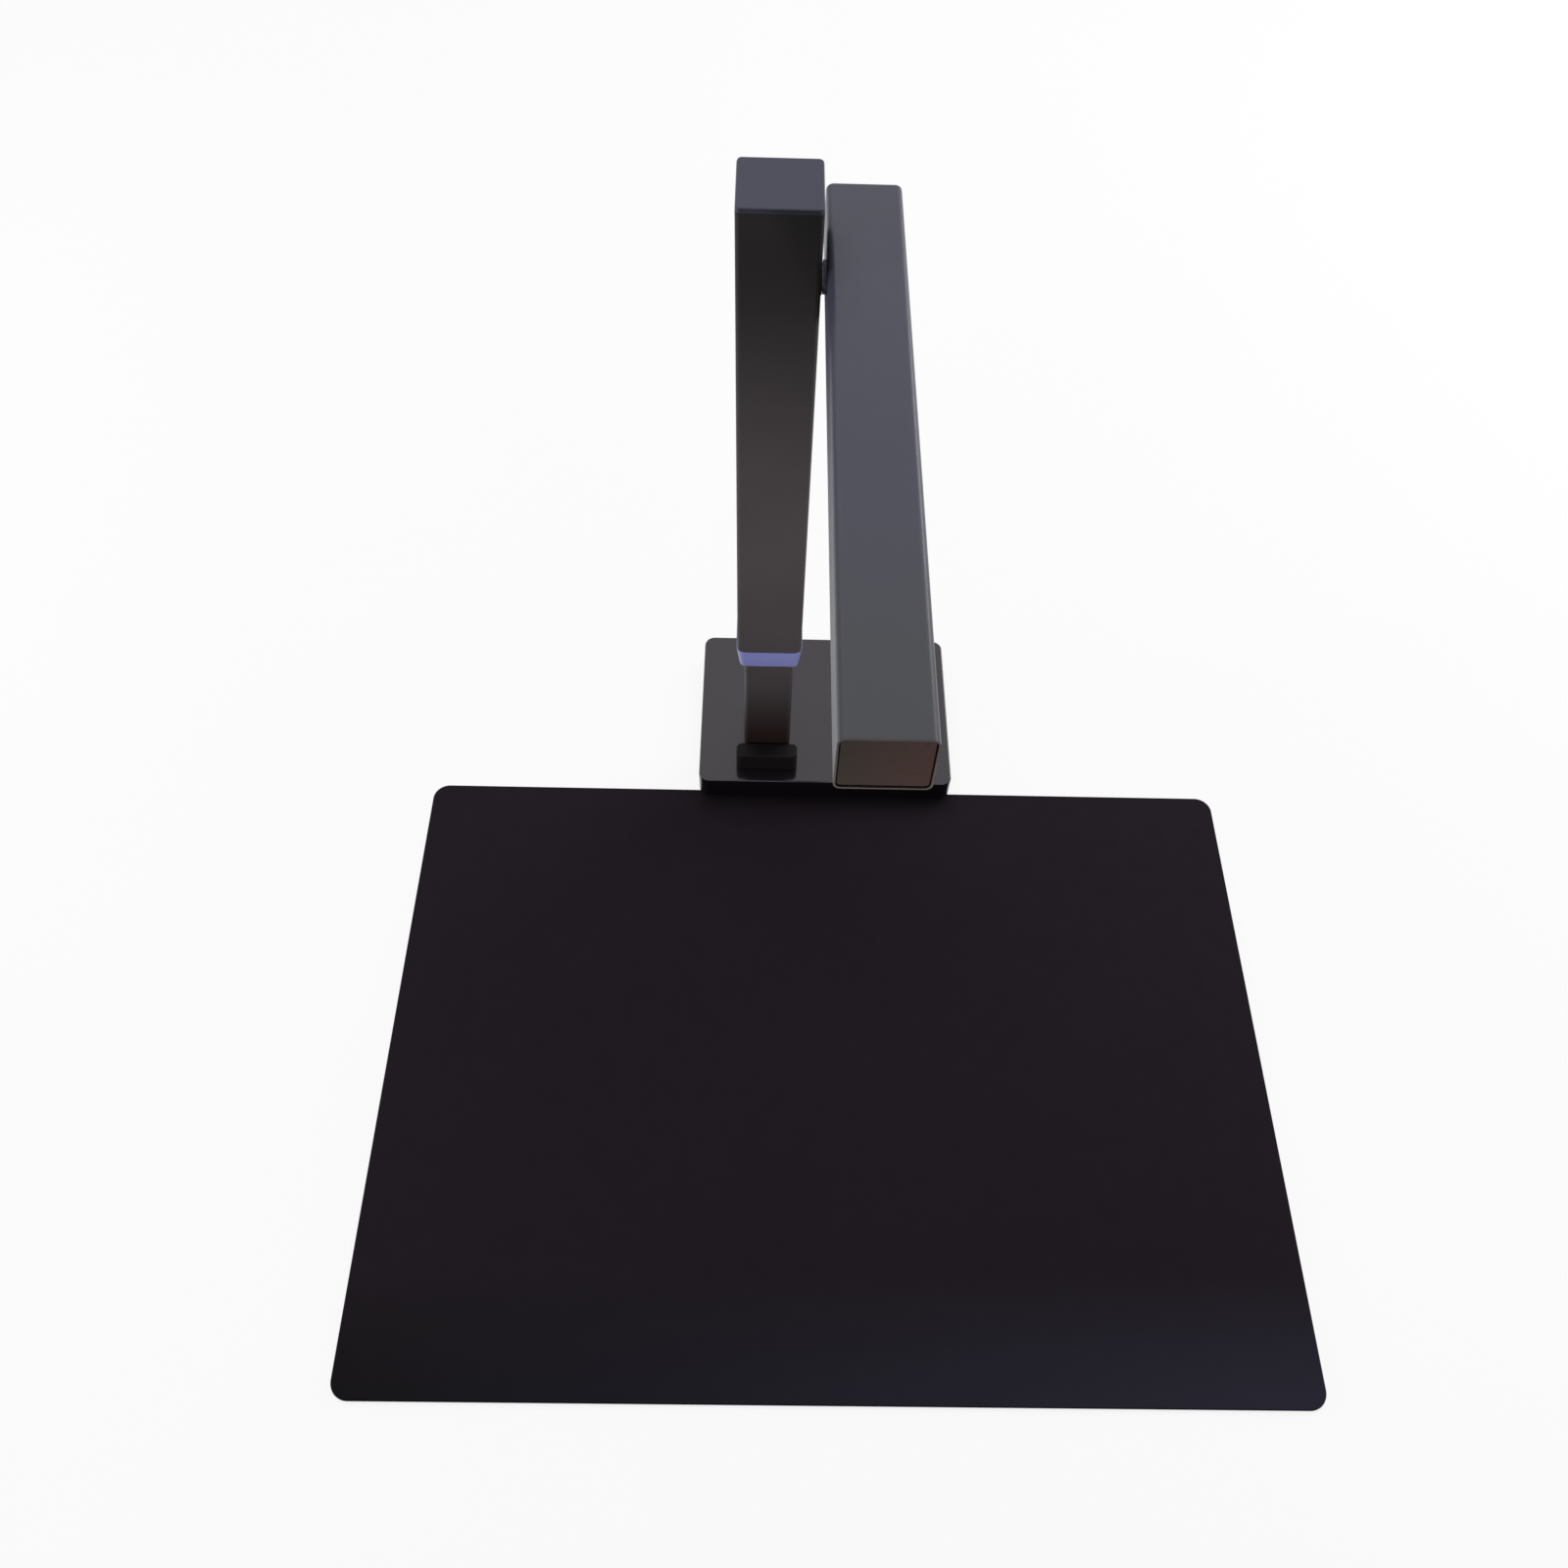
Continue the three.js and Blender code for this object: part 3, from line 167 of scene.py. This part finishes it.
def tinted(shader, base, spread, scale):
    """Base colour that wanders a little between two near tones."""
    low = tuple(max(0, tone - spread) for tone in base)
    high = tuple(min(255, tone + spread) for tone in base)
    return shader.colour(shader.mix(shader.patches(scale), linear(*low), linear(*high)))


def sprayed(shader, roughness, grain, depth, gloss, strength=0.35):
    """Slightly uneven roughness and a fine grain, as sprayed paint has."""
    shader.rough(shader.ramp(shader.noise(SATIN_SCALE), roughness - 0.02, roughness + 0.03))
    shader.bump(shader.noise(grain, detail=4.0), depth, strength)
    return shader.set(Specular_IOR_Level=gloss)


def fine_paint(name, base, roughness, grain=900.0, depth=60 * MICRON, spread=2, gloss=0.3):
    shader = Shader(name)
    tinted(shader, base, spread, PATCH_SCALE)
    return sprayed(shader, roughness, grain, depth, gloss)


def arm_paint():
    """Blue-grey paint whose blue fades towards the front as a painted reflection; the rim around
    the front cap is painted brown as warm light, with a painted highlight on its lower lip.
    """
    shader = Shader("arm_grey")
    rear = shader.mix(shader.patches(PATCH_SCALE), linear(64, 64, 80), linear(67, 67, 84))
    # Painted reflection: the paint loses blue towards the front
    reflected_skin = shader.mix(shader.along("Y", ARM_REFLECTION_FADE_Y), rear, linear(64, 65, 72))
    # Painted warm light and painted highlight: a brown rim, lighter at its lower lip
    darker = shader.along("Z", ARM_RIM_HIGHLIGHT_FADE_Z)
    brown = shader.mix(darker, linear(96, 84, 77), linear(62, 52, 52))
    shader.colour(shader.mix(shader.along("Y", ARM_WARM_RIM_Y), reflected_skin, brown))
    return sprayed(shader, 0.38, GRAIN_SCALE, depth=10 * MICRON, gloss=0.5)


def mast_paint():
    """Dark paint, with painted shade that makes it darker and browner towards the foot."""
    shader = Shader("mast_grey")
    upper = shader.mix(shader.patches(PATCH_SCALE), linear(55, 52, 54), linear(59, 56, 58))
    # Painted shade: the paint turns darker and browner towards the foot
    shader.colour(shader.mix(shader.along("Z", MAST_FOOT_SHADE_Z), linear(42, 31, 29), upper))
    return sprayed(shader, 0.42, GRAIN_SCALE, depth=30 * MICRON, gloss=0.12, strength=0.3)


def cap_paint():
    return fine_paint("cap_grey", (84, 84, 99), 0.42, gloss=0.12)


def cap_gloss():
    """Brown gloss, redder to the right."""
    shader = Shader("cap_gloss")
    redder = shader.along("X", CAP_RED_X)
    shader.colour(shader.mix(redder, linear(58, 43, 31), linear(82, 50, 44)))
    shader.rough(shader.ramp(shader.noise(35.0), 0.18, 0.30))
    shader.bump(shader.noise(260.0), 30 * MICRON, 0.2)
    return shader.set(Specular_IOR_Level=0.12)


def shell_gloss():
    """Glossy moulded plastic of the base."""
    shader = Shader("gloss_shell")
    tinted(shader, (27, 23, 31), 2, scale=9.0)
    shader.rough(shader.ramp(shader.noise(18.0), 0.10, 0.18))
    shader.bump(shader.noise(120.0, detail=1.0), 20 * MICRON, 0.12)
    return shader.set(IOR=1.65, Specular_Tint=(1.0, 0.96, 1.0, 1.0))


def bracket_black():
    return fine_paint(
        "bracket_black", (32, 28, 30), 0.45, grain=1200.0, depth=40 * MICRON, spread=1, gloss=0.1
    )


def mat_rubber():
    """Dark rubber with fine grain; its front strip carries painted shade, darker, on the left and a
    painted sheen, lighter and more blue, on the right.
    """
    shader = Shader("mat_rubber")
    # Painted shade on the left of the front strip, a painted sheen on the right
    bluer = shader.along("X", MAT_SHEEN_X)
    strip = shader.mix(bluer, linear(13, 11, 14), linear(43, 42, 54))
    ground = shader.mix(shader.patches(MAT_PATCH_SCALE), linear(28, 22, 29), linear(29, 24, 30))
    shader.colour(shader.mix(shader.along("Y", MAT_SHEEN_STRIP_Y), ground, strip))
    shader.rough(shader.ramp(shader.noise(90.0), 0.64, 0.69))
    shader.bump(shader.noise(GRAIN_SCALE, detail=2.0), 80 * MICRON, 0.4)
    return shader.set(Specular_IOR_Level=0.08)


def collar_violet():
    shader = Shader("collar_violet")
    tinted(shader, (105, 110, 160), 3, scale=30.0)
    shader.rough(shader.ramp(shader.noise(50.0), 0.32, 0.42))
    return shader.bump(shader.noise(700.0), 30 * MICRON, 0.25)


def black_plastic():
    return fine_paint("black_plastic", (26, 25, 27), 0.5, grain=1500.0, depth=80 * MICRON, spread=1)


def foot_rubber():
    return fine_paint("foot_rubber", (22, 22, 22), 0.8, grain=1000.0, depth=100 * MICRON)


def metal(name, base, roughness, stretch):
    """Bare metal; the stretch of its noise gives it a brushed look."""
    shader = Shader(name)
    tinted(shader, base, 5, scale=40.0)
    brushing = shader.noise(220.0, detail=5.0, stretch=stretch)
    shader.rough(shader.ramp(brushing, roughness - 0.06, roughness + 0.08))
    shader.bump(brushing, 20 * MICRON, 0.2)
    return shader.set(Metallic=1.0)


def steel():
    return metal("steel", (170, 170, 172), 0.32, (1, 1, 1))


def zinc_steel():
    return metal("zinc_steel", (182, 184, 186), 0.38, (1, 12, 1))


def pale_nylon():
    return fine_paint("pale_nylon", (214, 212, 204), 0.5, grain=600.0, depth=40 * MICRON)


def circuit_board():
    shader = Shader("circuit_board")
    tinted(shader, (28, 84, 52), 8, scale=160.0)
    shader.rough(shader.ramp(shader.noise(200.0), 0.35, 0.5))
    return shader.bump(shader.noise(500.0), 50 * MICRON, 0.3)


def lens_glass():
    shader = Shader("lens_glass")
    tinted(shader, (30, 36, 58), 6, scale=60.0)
    shader.rough(shader.ramp(shader.noise(90.0), 0.02, 0.05))
    return shader.set(Transmission_Weight=0.6, IOR=1.5)


def lamp_diffuser():
    shader = Shader("lamp_diffuser")
    tinted(shader, (232, 230, 222), 3, scale=50.0)
    shader.rough(shader.ramp(shader.noise(80.0), 0.35, 0.45))
    return shader.bump(shader.noise(900.0), 50 * MICRON, 0.3)


MAKERS = {
    "mat_rubber": mat_rubber,
    "gloss_shell": shell_gloss,
    "bracket_black": bracket_black,
    "mast_grey": mast_paint,
    "arm_grey": arm_paint,
    "cap_gloss": cap_gloss,
    "cap_grey": cap_paint,
    "collar_violet": collar_violet,
    "black_plastic": black_plastic,
    "foot_rubber": foot_rubber,
    "steel": steel,
    "zinc_steel": zinc_steel,
    "pale_nylon": pale_nylon,
    "circuit_board": circuit_board,
    "lens_glass": lens_glass,
    "lamp_diffuser": lamp_diffuser,
}
MATERIALS = {slot: maker().material for slot, maker in MAKERS.items()}


# Edge rounding of the carried-over nodes, in metres; nodes not named get the default
EDGE_DEFAULT = 0.2 * MM
EDGES = {
    "arm_shell": 0.2 * MM,
    "arm_front_cap": 0.1 * MM,
    "upper_column": 0.3 * MM,
    "hinge_bracket": 0.3 * MM,
    "mast_collar": 0.5 * MM,
}
EDGE_STEPS = 2
WELD_REACH = 0.002 * MM
FLAT_WITHIN = math.radians(0.5)
SHARP_FROM = math.radians(32)


def dress(name, node):
    """Material, welded corners, flat facets joined and edges rounded on one CAD node."""
    node.data.materials.clear()
    node.data.materials.append(MATERIALS[SLOT_OF[name]])
    node.data.shade_smooth()
    weld = node.modifiers.new("weld", "WELD")
    weld.merge_threshold = WELD_REACH
    flat = node.modifiers.new("flat", "DECIMATE")
    flat.decimate_type = "DISSOLVE"
    flat.angle_limit = FLAT_WITHIN
    edge = node.modifiers.new("edge", "BEVEL")
    edge.width = EDGES.get(name, EDGE_DEFAULT)
    edge.segments = EDGE_STEPS
    edge.limit_method = "ANGLE"
    edge.angle_limit = SHARP_FROM
    edge.use_clamp_overlap = True
    normals = node.modifiers.new("normals", "WEIGHTED_NORMAL")
    normals.keep_sharp = True
    normals.weight = 80


for node_name, node_object in NODES.items():
    dress(node_name, node_object)


# The mat: a flat sheet whose rim is rounded over, as [inset from the edge, height as a share]
MAT_CORNER = 9 * MM
MAT_CORNER_STEPS = 14
MAT_RIM = [
    (0.7 * MM, 0.0),
    (0.2 * MM, 0.1),
    (0.0, 0.35),
    (0.0, 0.65),
    (0.2 * MM, 0.9),
    (0.7 * MM, 1.0),
]


def rounded_outline(middle, half_width, half_depth, radius, height):
    """Corners of a rounded rectangle, counter-clockwise from above."""
    points = []
    for quarter, (side, end) in enumerate(((1, 1), (-1, 1), (-1, -1), (1, -1))):
        centre_x = middle.x + side * (half_width - radius)
        centre_y = middle.y + end * (half_depth - radius)
        for step in range(MAT_CORNER_STEPS + 1):
            angle = (quarter + step / MAT_CORNER_STEPS) * math.pi / 2
            points.append(
                (centre_x + radius * math.cos(angle), centre_y + radius * math.sin(angle), height)
            )
    return points


def lay_mat():
    """The mat as one closed sheet in place of its CAD node, on the same outline."""
    low, high = (Vector(corner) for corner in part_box("document_mat"))
    middle = (low + high) / 2
    half = (high - low) / 2
    build = bmesh.new()
    rings = []
    for inset, share in MAT_RIM:
        height = low.z + share * 2 * half.z
        outline = rounded_outline(
            middle, half.x - inset, half.y - inset, MAT_CORNER - inset, height
        )
        rings.append([build.verts.new(place) for place in outline])
    for lower, upper in zip(rings, rings[1:]):
        for here in range(len(lower)):
            after = (here + 1) % len(lower)
            build.faces.new((lower[here], lower[after], upper[after], upper[here]))
    build.faces.new(reversed(rings[0]))
    build.faces.new(rings[-1])
    mesh = bpy.data.meshes.new("mat_sheet")
    build.to_mesh(mesh)
    build.free()
    mesh.shade_smooth()
    mesh.materials.append(MATERIALS["mat_rubber"])
    sheet = bpy.data.objects.new("mat_sheet", mesh)
    bpy.context.scene.collection.objects.link(sheet)
    normals = sheet.modifiers.new("normals", "WEIGHTED_NORMAL")
    normals.weight = 90
    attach(sheet, "base")
    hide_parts("document_mat")


lay_mat()


# Camera: fitted to the edges of mat, base, mast and arm in the photograph; place in metres, angles
# in degrees, lens and sensor in mm
CAMERA_PLACE = (-0.03772, -0.32024, 0.67241)
CAMERA_YAW = 1.802
CAMERA_PITCH = 56.684
CAMERA_ROLL = 2.55
CAMERA_LENS = 30.908
CAMERA_SENSOR = 36.0


def add_camera():
    camera = bpy.data.cameras.new("camera")
    camera.lens = CAMERA_LENS
    camera.sensor_width = CAMERA_SENSOR
    holder = bpy.data.objects.new("camera", camera)
    aim = (
        Matrix.Rotation(math.radians(-CAMERA_YAW), 4, "Z")
        @ Matrix.Rotation(math.radians(90 - CAMERA_PITCH), 4, "X")
        @ Matrix.Rotation(math.radians(CAMERA_ROLL), 4, "Z")
    )
    holder.matrix_world = Matrix.Translation(CAMERA_PLACE) @ aim
    bpy.context.scene.collection.objects.link(holder)
    bpy.context.scene.camera = holder


def background_rays(tree):
    """1 for rays that look at the background itself: from the camera, gloss or glass."""
    rays = tree.nodes.new("ShaderNodeLightPath")
    total = rays.outputs["Is Camera Ray"]
    for name in ("Is Glossy Ray", "Is Transmission Ray"):
        largest = tree.nodes.new("ShaderNodeMath")
        largest.operation = "MAXIMUM"
        tree.links.new(total, largest.inputs[0])
        tree.links.new(rays.outputs[name], largest.inputs[1])
        total = largest.outputs[0]
    return total


# Half the floor's width, the share of its own white that shows, and its tone for bounced light
FLOOR_HALF = 6.0
FLOOR_GLOW = 0.86
FLOOR_TONE = 0.22


def add_floor():
    """Pale floor that shows white to the camera and keeps the object's shadow."""
    corners = [(-1, -1), (1, -1), (1, 1), (-1, 1)]
    mesh = bpy.data.meshes.new("floor")
    mesh.from_pydata([(x * FLOOR_HALF, y * FLOOR_HALF, 0) for x, y in corners], [], [(0, 1, 2, 3)])
    floor = bpy.data.objects.new("floor", mesh)
    bpy.context.scene.collection.objects.link(floor)
    material = bpy.data.materials.new("floor")
    material.use_nodes = True
    tree = material.node_tree
    matte = tree.nodes.new("ShaderNodeBsdfDiffuse")
    matte.inputs["Color"].default_value = (FLOOR_TONE, FLOOR_TONE, FLOOR_TONE, 1)
    white = tree.nodes.new("ShaderNodeBsdfDiffuse")
    white.inputs["Color"].default_value = (1, 1, 1, 1)
    glow = tree.nodes.new("ShaderNodeEmission")
    shaded = tree.nodes.new("ShaderNodeMixShader")
    shaded.inputs["Fac"].default_value = FLOOR_GLOW
    tree.links.new(white.outputs[0], shaded.inputs[1])
    tree.links.new(glow.outputs[0], shaded.inputs[2])
    blend = tree.nodes.new("ShaderNodeMixShader")
    tree.links.new(background_rays(tree), blend.inputs["Fac"])
    tree.links.new(matte.outputs[0], blend.inputs[1])
    tree.links.new(shaded.outputs[0], blend.inputs[2])
    tree.links.new(blend.outputs[0], tree.nodes["Material Output"].inputs["Surface"])
    mesh.materials.append(material)


# Strengths of the even fill and of the walls in gloss, and where walls turn into ceiling, as the
# upward part of a direction
WORLD_FILL = 0.08
WALL_GLOSS = 0.15
WALL_TOP = 0.15
CEILING_FROM = 0.5


def add_world():
    """White to the camera, a white ceiling over dim walls to gloss, and else a low even fill."""
    world = bpy.data.worlds.new("studio")
    bpy.context.scene.world = world
    world.use_nodes = True
    tree = world.node_tree

    def between(value, low, high, start=0.0, stop=1.0):
        made = tree.nodes.new("ShaderNodeMapRange")
        made.inputs["From Min"].default_value = start
        made.inputs["From Max"].default_value = stop
        for source, name in ((low, "To Min"), (high, "To Max")):
            if isinstance(source, float):
                made.inputs[name].default_value = source
            else:
                tree.links.new(source, made.inputs[name])
        tree.links.new(value, made.inputs["Value"])
        return made.outputs["Result"]

    rays = tree.nodes.new("ShaderNodeLightPath")
    direction = tree.nodes.new("ShaderNodeSeparateXYZ")
    tree.links.new(tree.nodes.new("ShaderNodeTexCoord").outputs["Generated"], direction.inputs[0])
    studio = between(direction.outputs["Z"], WALL_GLOSS, 1.0, start=WALL_TOP, stop=CEILING_FROM)
    seen = between(rays.outputs["Is Glossy Ray"], 1.0, studio)
    level = between(background_rays(tree), WORLD_FILL, seen)
    tree.links.new(level, tree.nodes["Background"].inputs["Strength"])
    tree.nodes["Background"].inputs["Color"].default_value = (1, 1, 1, 1)


# Lamps: places, targets and sizes in metres, power in watts, angle in degrees
SOFTBOXES = {
    "top": dict(place=(0.0, 1.9, 3.0), target=(0, 0.6, 0), size=(4.0, 3.0), power=84.0),
    "left": dict(
        place=(-1.4, 0.08, 0.36), target=(0, 0.0, 0.3), size=(0.6, 0.6), power=8.5, mirrored=True
    ),
    "right": dict(
        place=(1.0, 1.0, 0.7), target=(0, 0.0, 0.35), size=(0.5, 0.5), power=4.0, mirrored=True
    ),
    "low_right": dict(place=(1.3, 0.1, 0.14), target=(0, 0.05, 0.24), size=(0.6, 0.24), power=8.0),
}
SNOOTS = {
    "mast": dict(
        place=(-0.12, -0.95, 0.2),
        target=(-0.034, 0.128, 0.18),
        angle=17.6,
        power=58.0,
        tint=(1.0, 0.95, 0.92),
    ),
    "arm_end": dict(
        place=(0.12, -0.7, 0.06),
        target=(0.004, -0.092, 0.333),
        angle=7.0,
        power=18.5,
        tint=(1.0, 0.97, 0.94),
    ),
}
SNOOT_SOFTNESS = 0.06


def aimed(holder, place, target):
    """Puts a lamp in the scene and points it at its target."""
    holder.location = place
    holder.rotation_euler = (Vector(target) - Vector(place)).to_track_quat("-Z", "Y").to_euler()
    bpy.context.scene.collection.objects.link(holder)


def add_softbox(name, place, target, size, power, mirrored=False):
    """Large soft lamp; a mirrored one also shows in glossy surfaces."""
    lamp = bpy.data.lights.new(name, "AREA")
    lamp.shape = "RECTANGLE"
    lamp.size, lamp.size_y = size
    lamp.energy = power
    holder = bpy.data.objects.new(name, lamp)
    holder.visible_glossy = mirrored
    aimed(holder, place, target)


def add_snoot(name, place, target, angle, power, tint):
    """Narrow spot with a soft edge, which gloss doesn't show."""
    lamp = bpy.data.lights.new(name, "SPOT")
    lamp.spot_size = math.radians(angle)
    lamp.spot_blend = 1.0
    lamp.shadow_soft_size = SNOOT_SOFTNESS
    lamp.energy = power
    lamp.color = tint
    holder = bpy.data.objects.new(name, lamp)
    holder.visible_glossy = False
    aimed(holder, place, target)


add_camera()
add_floor()
add_world()
for box_name, box in SOFTBOXES.items():
    add_softbox(box_name, **box)
for snoot_name, snoot in SNOOTS.items():
    add_snoot(snoot_name, **snoot)
bpy.context.scene.view_settings.view_transform = "Standard"
